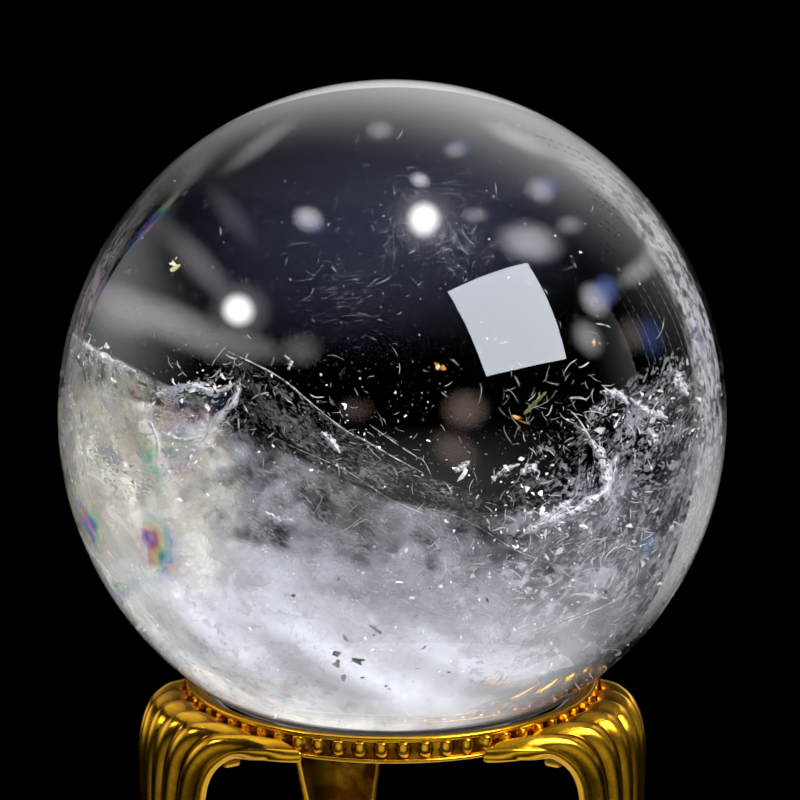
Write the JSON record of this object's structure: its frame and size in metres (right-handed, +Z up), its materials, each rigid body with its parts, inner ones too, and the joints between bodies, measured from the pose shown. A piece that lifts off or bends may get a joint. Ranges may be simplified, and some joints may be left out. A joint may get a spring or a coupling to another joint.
{
  "type": "crystal ball on stand",
  "caption": "Polished rock-crystal sphere with natural veils, resting in a gilt gallery ring carried on reeded cabriole legs; the ball lifts off its stand.",
  "frame": {"origin": "on the floor under the ball's centre", "axes": "+Z up, -Y towards the viewer, with the gap between the two front legs"},
  "size_m": [0.065, 0.065, 0.0994],
  "materials": {
    "rock_crystal": "polished",
    "gilt_brass": "polished gold plate",
    "felt": "pressed felt",
    "steel": "turned"
  },
  "bodies": {
    "stand": {"seat_ring": "gilt_brass", "gallery_strip": "gilt_brass", "seat_liner": "felt", "leg_front_left": "gilt_brass", "leg_front_right": "gilt_brass", "leg_back": "gilt_brass", "leg_screw_front_left": "steel", "leg_screw_front_right": "steel", "leg_screw_back": "steel", "leg_washer_front_left": "steel", "leg_washer_front_right": "steel", "leg_washer_back": "steel", "foot_pad_front_left": "felt", "foot_pad_front_right": "felt", "foot_pad_back": "felt"},
    "ball": {"crystal_ball": "rock_crystal"}
  },
  "joints": [
    {"name": "ball_lift", "type": "slide", "parent": "stand", "child": "ball", "axis": [0, 0, 1], "range_m": [0, 0.06]}
  ]
}
